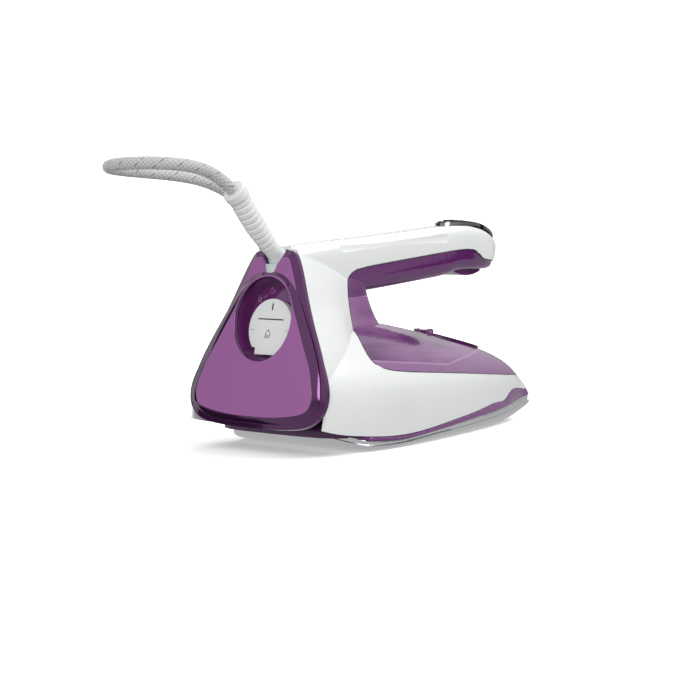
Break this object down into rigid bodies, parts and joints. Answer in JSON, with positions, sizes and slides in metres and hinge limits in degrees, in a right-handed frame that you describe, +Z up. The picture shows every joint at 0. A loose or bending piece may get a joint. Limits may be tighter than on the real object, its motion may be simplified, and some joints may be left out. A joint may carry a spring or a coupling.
{
  "type": "steam iron",
  "caption": "Domestic steam iron with an open-fronted handle, its own translucent tank, a lockable dial in a leaning heel plate and a braided mains lead.",
  "frame": {"origin": "middle of the iron's footprint box, on the sole's plane, without the lead", "axes": "+X to the nose, +Y to the iron's left, +Z up"},
  "size_m": [0.4754, 0.2726, 0.1946],
  "materials": {
    "sole": "satin coated",
    "casting": "polished edge",
    "element": "matt",
    "chamber_cover": "plain",
    "violet_trim": "gloss",
    "white_shell": "gloss",
    "violet_clear": "clear gloss",
    "violet_dark": "gloss",
    "seal": "matt",
    "pins": "plain",
    "violet_liner": "gloss",
    "frame_black": "matt",
    "nozzle": "plain",
    "trigger_violet": "gloss",
    "springs": "plain",
    "panel_black": "high gloss",
    "panel_chrome": "mirror",
    "button_black": "gloss",
    "board": "plain",
    "heel_violet": "satin with gloss bevel",
    "cup_violet": "gloss",
    "dial_white": "satin",
    "valve": "plain",
    "block": "plain",
    "socket": "plain",
    "boot_white": "satin",
    "braid": "braided",
    "plug_white": "satin",
    "plug_metal": "nickel"
  },
  "bodies": {
    "iron": {"glide_plate": "sole", "sole_casting": "casting", "heating_element": "element", "steam_chamber_cover": "chamber_cover", "heat_skirt": "violet_trim", "housing_shell": "white_shell", "water_tank": "violet_clear", "filler_pin": "pins", "grip_liner": "violet_liner", "handle_frame": "frame_black", "spray_nozzle": "nozzle", "trigger_pin": "pins", "trigger_spring": "springs", "control_panel": "panel_black", "panel_ring": "panel_chrome", "steam_button_spring": "springs", "spray_button_spring": "springs", "temperature_button_spring": "springs", "control_board": "board", "heel_plate": "heel_violet", "dial_cup": "cup_violet", "calc_valve": "valve", "terminal_block": "block", "ball_socket": "socket"},
    "lid": {"filler_door": "violet_dark", "filler_seal": "seal"},
    "trigger_body": {"trigger": "trigger_violet"},
    "steam_key": {"steam_button": "button_black"},
    "spray_key": {"spray_button": "button_black"},
    "temperature_key": {"temperature_button": "button_black"},
    "dial": {"calc_dial": "dial_white"},
    "lead": {"cord_boot": "boot_white", "lead_ball": "socket", "power_cord": "braid", "cord_coil": "braid", "cord_tail": "braid", "plug_body": "plug_white", "plug_pin_left": "plug_metal", "plug_pin_right": "plug_metal"}
  },
  "joints": [
    {"name": "lid_turn", "type": "hinge", "parent": "iron", "child": "lid", "pos_m": [0.026, 0, 0.07358], "axis": [0, -1, 0], "range_deg": [0, 48]},
    {"name": "trigger_squeeze", "type": "hinge", "parent": "iron", "child": "trigger_body", "pos_m": [0.051, 0, 0.1218], "axis": [0, -1, 0], "range_deg": [0, 5], "stiffness_Nm_per_rad": 0.15, "springref_deg": -2.86, "deforming": ["trigger_spring"]},
    {"name": "steam_press", "type": "slide", "parent": "iron", "child": "steam_key", "axis": [-0.3748, 0, -0.9271], "range_m": [0, 0.001], "stiffness_N_per_m": 400, "springref_m": -0.001, "deforming": ["steam_button_spring"]},
    {"name": "spray_press", "type": "slide", "parent": "iron", "child": "spray_key", "axis": [-0.1362, 0, -0.9907], "range_m": [0, 0.001], "stiffness_N_per_m": 400, "springref_m": -0.001, "deforming": ["spray_button_spring"]},
    {"name": "temperature_press", "type": "slide", "parent": "iron", "child": "temperature_key", "axis": [0.0197, 0, -0.9998], "range_m": [0, 0.001], "stiffness_N_per_m": 400, "springref_m": -0.001, "deforming": ["temperature_button_spring"]},
    {"name": "dial_turn", "type": "hinge", "parent": "iron", "child": "dial", "pos_m": [-0.13674, 0, 0.0821], "axis": [-0.9806, 0, 0.1961], "range_deg": [0, 48]},
    {"name": "lead_swivel", "type": "hinge", "parent": "iron", "child": "lead", "pos_m": [-0.1275, 0, 0.128], "axis": [0, 0, 1], "range_deg": [-8, 8]}
  ]
}
